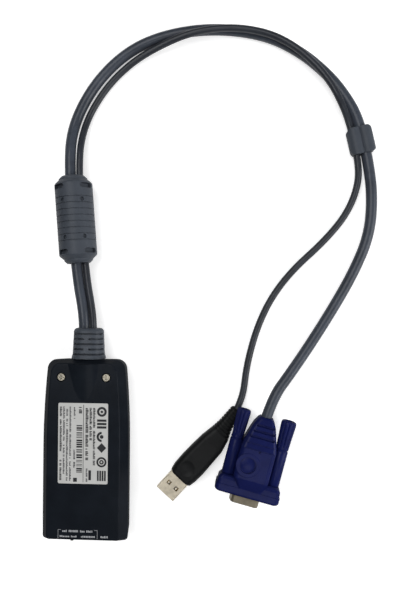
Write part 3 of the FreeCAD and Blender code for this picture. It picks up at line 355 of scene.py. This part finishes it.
def addMesh(name, corners, faces, slot, body, smooth):
    # edges sharper than this angle, in degrees, stay sharp
    mesh = bpy.data.meshes.new(name)
    mesh.from_pydata(corners, [], faces)
    mesh.update()
    shape = bmesh.new()
    shape.from_mesh(mesh)
    bmesh.ops.remove_doubles(shape, verts=shape.verts, dist=weld)
    bmesh.ops.recalc_face_normals(shape, faces=shape.faces)
    shape.to_mesh(mesh)
    shape.free()
    mesh.polygons.foreach_set("use_smooth", [True] * len(mesh.polygons))
    mesh.set_sharp_from_angle(angle=math.radians(smooth))
    piece = bpy.data.objects.new(name, mesh)
    bpy.context.scene.collection.objects.link(piece)
    paint(piece, slot)
    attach(piece, body)
    return piece


def spun(name, place, rows, around, radius, slot, body):
    # rings of points along an axis, each point at a radius that depends on place and angle
    corners = [place.at(0, rows[0][0], 0)]
    for y, plain in rows:
        for k in range(around):
            angle = 2 * math.pi * k / around
            r = radius(y, plain, angle)
            corners.append(place.at(r * math.cos(angle), y, r * math.sin(angle)))
    corners.append(place.at(0, rows[-1][0], 0))
    faces = []
    for k in range(around):
        after = (k + 1) % around
        faces.append((0, 1 + after, 1 + k))
        for j in range(len(rows) - 1):
            a, b = 1 + j * around, 1 + (j + 1) * around
            faces.append((a + k, a + after, b + after, b + k))
        ring = 1 + (len(rows) - 1) * around
        faces.append((len(corners) - 1, ring + k, ring + after))
    return addMesh(name, corners, faces, slot, body, smooth=40)


grip = {
    # along the axis from its middle, millimetres: place and radius
    "rows": [(-16.0, 3.0), (-15.9, 3.35), (-15.5, 3.55), (-6.0, 3.55), (3.2, 3.55), (3.55, 3.45),
             (3.8, 3.15), (4.1, 3.15), (4.35, 3.38), (4.8, 3.48), (5.6, 3.52), (6.4, 3.56), (7.4, 3.6),
             (9.0, 3.68), (11.0, 3.78), (13.0, 3.88), (15.0, 3.98), (17.0, 4.08), (18.4, 4.13),
             (19.2, 4.08), (19.8, 3.9), (20.1, 3.6), (20.25, 3.2), (20.2, 2.8), (19.9, 2.5),
             (19.6, 2.4), (19.55, 1.0)],
    "flutes": 10, "from": 4.9, "to": 19.3, "depth": 0.5, "fade": 1.6, "dish": 3.3, "around": 120,
    # the left one is narrower, clear of the USB plug
    "share": {"left": 0.92, "right": 1.0},
}
stud = {"rows": (-24.5, -12.0), "radius": 1.4, "tip": 0.75, "pitch": 0.64, "depth": 0.26, "point": 0.45,
        "widening": 0.65, "around": 48, "turnSteps": 6}


def gripRadius(y, plain, angle):
    if y < grip["from"] or y > grip["to"] or plain < grip["dish"]:
        return plain
    fade = min(1.0, (y - grip["from"]) / grip["fade"])
    wave = 0.5 - 0.5 * math.cos(angle * grip["flutes"])
    return plain - grip["depth"] * fade * wave ** 5


def studRadius(y, plain, angle):
    turn = (y / stud["pitch"] - angle / (2 * math.pi)) % 1.0
    return plain - stud["depth"] * abs(2 * turn - 1)


joints = {joint["name"]: joint for joint in frame["record"]["behaviour"]["joints"]}


def addThumbscrews():
    start, end = stud["rows"]
    count = round((end - start) / stud["pitch"] * stud["turnSteps"])
    for side in ("left", "right"):
        joint = joints["thumbscrew_" + side + "_turn"]
        place = Place(joint["pos_m"], joint["axis"])
        rows = [(y, r * grip["share"][side] if y > grip["from"] else r) for y, r in grip["rows"]]
        body = "thumbscrew_" + side
        sleeve = spun(side + "Grip", place, rows, grip["around"], gripRadius, "video_blue", body)
        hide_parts("thumbscrew_grip_" + side)
        rows = []
        for k in range(count + 1):
            y = start + (end - start) * k / count
            widened = stud["tip"] + (y - start) / stud["point"] * stud["widening"]
            rows.append((y, min(stud["radius"], widened)))
        screw = spun(side + "Stud", place, rows, stud["around"], studRadius, "nickel", body)
        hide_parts("thumbscrew_stud_" + side)


# along the USB plug from its mating end, in millimetres
spring = {"across": 2.6, "from": 7.9, "to": 5.5, "half": 0.75, "taper": 0.35, "thick": 0.14, "high": 1.945,
          "dip": 0.5, "bend": 0.85, "steps": 16}


def mountPlace(name):
    mount = next(m for m in frame["record"]["mounts"] if m["name"] == name)
    return Place(mount["pos_m"], [-c for c in mount["axis"]])


def addSprings():
    # leaf springs behind the upper windows of the USB shell
    low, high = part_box("usb_shell")
    place = mountPlace("usb_plug")
    place.origin.z = (low.z + high.z) / 2
    corners, faces = [], []
    for side in (-1, 1):
        for k in range(spring["steps"] + 1):
            share = k / spring["steps"]
            y = spring["from"] + (spring["to"] - spring["from"]) * share
            z = spring["high"] - spring["dip"] * math.sin(spring["bend"] * math.pi * share)
            half = spring["half"] * (1 - spring["taper"] * share)
            first = len(corners)
            for x, drop in ((-half, 0), (half, 0), (half, spring["thick"]), (-half, spring["thick"])):
                corners.append(place.at(side * spring["across"] + x, y, z - drop))
            if k:
                for a, b in ((0, 1), (1, 2), (2, 3), (3, 0)):
                    faces.append((first - 4 + a, first - 4 + b, first + b, first + a))
        end = len(corners)
        start = end - 4 * (spring["steps"] + 1)
        faces += [(start, start + 3, start + 2, start + 1), (end - 4, end - 3, end - 2, end - 1)]
    piece = addMesh("usbSprings", corners, faces, "nickel", "dongle", smooth=50)


# the moulding lies 4.6 degrees off +Y; what is within 6.1 mm of its axis are the cords' passages
ferriteTurn = {"node": "ferrite_moulding", "degrees": 19.0, "along": 4.6, "beyond": 6.1}


def addFerrite():
    # the outer surface turned about the cords, its pits and slots with it, and the passages left in place
    low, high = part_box("ferrite_core")
    centre = (low + high) / 2
    lean = math.radians(ferriteTurn["along"])
    axis = Vector((-math.sin(lean), math.cos(lean), 0))
    turn = Matrix.Rotation(math.radians(ferriteTurn["degrees"]), 3, axis)
    corners = []
    source = nodes[ferriteTurn["node"]].data
    for vertex in source.vertices:
        reach = vertex.co - centre
        out = reach - axis * reach.dot(axis)
        outside = out.length * 1000 > ferriteTurn["beyond"]
        corners.append(centre + turn @ reach if outside else vertex.co.copy())
    faces = [tuple(polygon.vertices) for polygon in source.polygons]
    piece = addMesh("ferriteSleeve", corners, faces, "soft_grey", "dongle", smooth=30)
    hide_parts(ferriteTurn["node"])


addThumbscrews()
addSprings()
addFerrite()
print("plug details done")


# routes in millimetres, from the boot to the plugs, and the pieces each cord carries, listed
videoCord = {
    "node": "video_cord", "slot": "cord_grey", "diameter": 6.0, "length": 494.0,
    "route": [
        (-2.6, 64.75, 11.5), (-2.6, 71.5, 11.5), (-7.51, 95.26, 10.25), (-12.24, 154.07, 10.25),
        (-12.0, 178.1, 3.2), (0.3, 201.3, 3.0), (18.8, 219.0, 3.0), (40.2, 227.8, 3.0), (66.9, 231.0, 3.0),
        (94.4, 227.2, 3.0), (113.7, 217.7, 3.0), (128.4, 205.4, 3.0), (137.7, 194.1, 3.4),
        (145.64, 180.0, 4.2), (151.08, 156.63, 4.2), (153.8, 138.1, 3.0), (152.3, 116.7, 3.0),
        (143.9, 96.2, 3.0), (132.7, 76.1, 3.0), (120.4, 56.1, 3.0), (109.3, 40.0, 5.4),
        (100.8, 28.7, 7.7), (96.7, 16.35, 8.0)],
    "carries": ["cord_boot", "ferriteSleeve", "ferrite_core", "cord_clip", "video_hood", "video_shell",
                "video_insulator", "video_pins", "leftGrip", "rightGrip", "leftStud", "rightStud"],
}
usbCord = {
    "node": "usb_cord", "slot": "usb_grey", "diameter": 3.8, "length": 484.0,
    "route": [
        (2.4, 64.75, 11.5), (2.4, 71.5, 11.5), (-2.52, 95.66, 10.25), (-7.26, 154.47, 10.25),
        (-5.9, 177.9, 2.6), (5.2, 197.9, 1.9), (19.3, 212.0, 1.9), (35.1, 220.4, 4.6), (54.5, 226.8, 8.5),
        (74.9, 229.3, 8.5), (94.8, 226.3, 8.5), (109.6, 219.1, 8.5), (121.6, 208.8, 8.5),
        (129.8, 198.7, 8.5), (134.9, 189.8, 8.0), (140.68, 178.85, 4.2), (146.12, 155.47, 4.2),
        (146.0, 143.1, 2.0), (140.0, 128.0, 1.9), (127.7, 113.1, 1.9), (111.3, 98.0, 1.9),
        (99.8, 83.1, 1.9), (92.2, 67.0, 1.9), (87.9, 52.1, 1.9), (85.7, 41.0, 2.0),
        (84.6, 31.0, 2.3), (82.9, 25.0, 2.6), (80.6, 19.5, 2.75)],
    "carries": ["usb_overmould", "usb_shell", "usb_tongue", "usb_contacts", "usbSprings"],
}


def addCord(name, spec):
    curve = bpy.data.curves.new(name, "CURVE")
    curve.dimensions = "3D"
    curve.bevel_depth = spec["diameter"] / 2000
    curve.bevel_resolution = 7
    curve.resolution_u = 12
    curve.use_fill_caps = True
    spline = curve.splines.new("NURBS")
    spline.points.add(len(spec["route"]) - 1)
    for point, (x, y, z) in zip(spline.points, spec["route"]):
        point.co = (x / 1000, y / 1000, z / 1000, 1)
    spline.order_u = 3
    spline.use_endpoint_u = True
    cord = bpy.data.objects.new(name, curve)
    bpy.context.scene.collection.objects.link(cord)
    curve.materials.append(finishes[spec["slot"]])
    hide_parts(spec["node"])
    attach(cord, "dongle")


addCord("videoCord", videoCord)
addCord("usbCord", usbCord)
print("cords done")


class Print:
    # flat shapes raised a little above a surface, drawn in millimetres from a corner
    def __init__(self, corner):
        self.mesh = bmesh.new()
        self.corner = corner

    def shape(self, points):
        x, y, z = self.corner
        self.mesh.faces.new([self.mesh.verts.new((x + u / 1000, y + v / 1000, z)) for u, v in points])

    def bar(self, u0, u1, v0, v1):
        self.shape([(u0, v0), (u1, v0), (u1, v1), (u0, v1)])

    def arc(self, u, v, inner, outer, start, end, steps):
        angles = [math.radians(start + (end - start) * k / steps) for k in range(steps + 1)]
        for a, b in zip(angles, angles[1:]):
            self.shape([(u + inner * math.cos(a), v + inner * math.sin(a)),
                        (u + outer * math.cos(a), v + outer * math.sin(a)),
                        (u + outer * math.cos(b), v + outer * math.sin(b)),
                        (u + inner * math.cos(b), v + inner * math.sin(b))])

    def finish(self, name, ink, thick):
        bmesh.ops.remove_doubles(self.mesh, verts=self.mesh.verts, dist=weld)
        bmesh.ops.recalc_face_normals(self.mesh, faces=self.mesh.faces)
        raised = bmesh.ops.extrude_face_region(self.mesh, geom=list(self.mesh.faces))
        moved = [g for g in raised["geom"] if isinstance(g, bmesh.types.BMVert)]
        bmesh.ops.translate(self.mesh, verts=moved, vec=(0, 0, thick))
        bmesh.ops.recalc_face_normals(self.mesh, faces=self.mesh.faces)
        mesh = bpy.data.meshes.new(name)
        self.mesh.to_mesh(mesh)
        self.mesh.free()
        piece = bpy.data.objects.new(name, mesh)
        bpy.context.scene.collection.objects.link(piece)
        paint(piece, ink)
        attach(piece, "dongle")


def marks(chance, start, end, look):
    # small marks along a line, uneven as print is, that spell nothing: ends of each and share of full height
    place = start
    while place < end:
        wide = chance.uniform(*look["widths"])
        if chance.random() < look["share"]:
            yield place, min(place + wide, end), chance.choice(look["heights"])
        place += wide + look["gap"]


labelPrint = {
    "inset": 0.00002, "thick": 0.00002, "seed": 11,
    "marks": {"widths": (0.3, 0.7), "heights": (1.0, 1.0, 0.85, 0.7), "share": 0.88, "gap": 0.17},
    # rows of marks, in millimetres: place across the label, both ends down the label, height
    "fine": [(2.6, 1.9, 20.0, 0.95), (2.6, 22.0, 39.0, 0.95), (4.3, 1.9, 41.0, 0.95),
             (6.0, 1.9, 41.0, 0.95), (8.3, 2.0, 8.3, 0.9), (8.2, 24.0, 34.0, 1.0), (14.9, 34.4, 41.3, 0.9)],
    "bold": [(0.8, 2.0, 25.5, 1.15), (0.8, 30.0, 40.8, 1.1), (11.0, 2.0, 5.4, 1.7), (14.6, 2.4, 30.0, 1.5),
             (16.7, 2.4, 19.5, 1.3), (18.6, 2.4, 32.6, 1.2)],
    # the striped field: both sides across the label, both ends down it
    "stripes": (9.8, 12.9, 11.6, 36.6), "stripeWidths": (0.35, 0.6, 0.9), "stripeGaps": (0.3, 0.5, 0.9),
    # a thin rule along the label, and solid blocks at its foot
    "rule": (13.35, 13.6, 0.8), "blocks": [(16.3, 17.7, 2.0, 7.2), (8.2, 10.2, 1.0, 3.1)],
}
signs = {
    # plain shapes in a row down the label: rings by place, radii, angles and steps
    "middle": 23.2,
    "rings": [(4.4, 1.4, 2.6, 0, 360, 36), (4.4, 0.0001, 0.7, 0, 360, 20), (17.6, 1.5, 2.7, 90, 270, 36),
              (17.6, 0.0001, 1.0, 0, 360, 20), (30.9, 1.7, 2.7, 0, 360, 36), (30.9, 0.5, 1.2, 0, 360, 36)],
    "crossBars": {"count": 3, "pitch": 1.8, "near": 8.4, "far": 9.6, "left": 20.7, "right": 25.7},
    "uprights": {"count": 4, "pitch": 1.25, "near": 35.4, "far": 40.8, "left": 20.9, "right": 21.8},
    "diamond": {"at": 23.4, "across": 2.5, "along": 2.6},
}


def addSigns(sheet, tall):
    middle = signs["middle"]
    for place, inner, outer, start, end, steps in signs["rings"]:
        sheet.arc(middle, tall - place, inner, outer, start, end, steps)
    bars = signs["crossBars"]
    for k in range(bars["count"]):
        shift = tall - bars["pitch"] * k
        sheet.bar(bars["left"], bars["right"], shift - bars["far"], shift - bars["near"])
    bars = signs["uprights"]
    for k in range(bars["count"]):
        shift = bars["pitch"] * k
        sheet.bar(bars["left"] + shift, bars["right"] + shift, tall - bars["far"], tall - bars["near"])
    across, along = signs["diamond"]["across"], signs["diamond"]["along"]
    centre = tall - signs["diamond"]["at"]
    sheet.shape([(middle, centre - along), (middle + across, centre), (middle, centre + along),
                 (middle - across, centre)])


def addLabelPrint():
    low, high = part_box("rating_label")
    corner = (low[0], low[1], high[2] + labelPrint["inset"])
    tall = (high[1] - low[1]) * 1000
    chance = random.Random(labelPrint["seed"])
    dark = Print(corner)
    grey = Print(corner)
    for sheet, rows in ((grey, labelPrint["fine"]), (dark, labelPrint["bold"])):
        for across, near, far, height in rows:
            for start, end, share in marks(chance, tall - far, tall - near, labelPrint["marks"]):
                sheet.bar(across, across + height * share, start, end)
    left, right, place, far = labelPrint["stripes"]
    while place < far:
        wide = chance.choice(labelPrint["stripeWidths"])
        dark.bar(left, right, tall - min(place + wide, far), tall - place)
        place += wide + chance.choice(labelPrint["stripeGaps"])
    left, right, margin = labelPrint["rule"]
    dark.bar(left, right, margin, tall - margin)
    for block in labelPrint["blocks"]:
        dark.bar(*block)
    addSigns(dark, tall)
    dark.finish("labelPrintDark", "dark_ink", labelPrint["thick"])
    grey.finish("labelPrintGrey", "grey_ink", labelPrint["thick"])


endPrint = {
    # on the label side, over the switch and the light, in millimetres from the middle of the case
    "gap": 0.00001, "thick": 0.00002, "line": 0.16, "seed": 5,
    "marks": {"widths": (0.4, 0.75), "heights": (1.0, 1.0, 0.75), "share": 0.88, "gap": 0.26},
    # the two bracket ends: place and reach inwards
    "brackets": [(-13.0, 1.6), (7.9, -1.6)], "high": -41.2, "low": -45.8,
    # rows of marks: both ends, place along the case, height
    "rows": [(-10.6, 5.4, -42.5, 1.1), (-12.0, -2.6, -45.2, 0.9), (-0.6, 7.4, -45.2, 0.9),
             (9.8, 14.8, -45.2, 1.05)],
}


def addEndPrint():
    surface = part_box("rating_label")[0][2] + endPrint["gap"]
    ink = Print((0.0, 0.0, surface))
    line, high = endPrint["line"], endPrint["high"]
    for x, reach in endPrint["brackets"]:
        ink.bar(x, x + line, endPrint["low"], high)
        ink.bar(min(x, x + reach), max(x, x + reach), high - line, high)
    chance = random.Random(endPrint["seed"])
    for left, right, y, height in endPrint["rows"]:
        for start, end, share in marks(chance, left, right, endPrint["marks"]):
            ink.bar(start, end, y, y + height * share)
    ink.finish("endPrint", "white_ink", endPrint["thick"])


addLabelPrint()
addEndPrint()
print("print done")
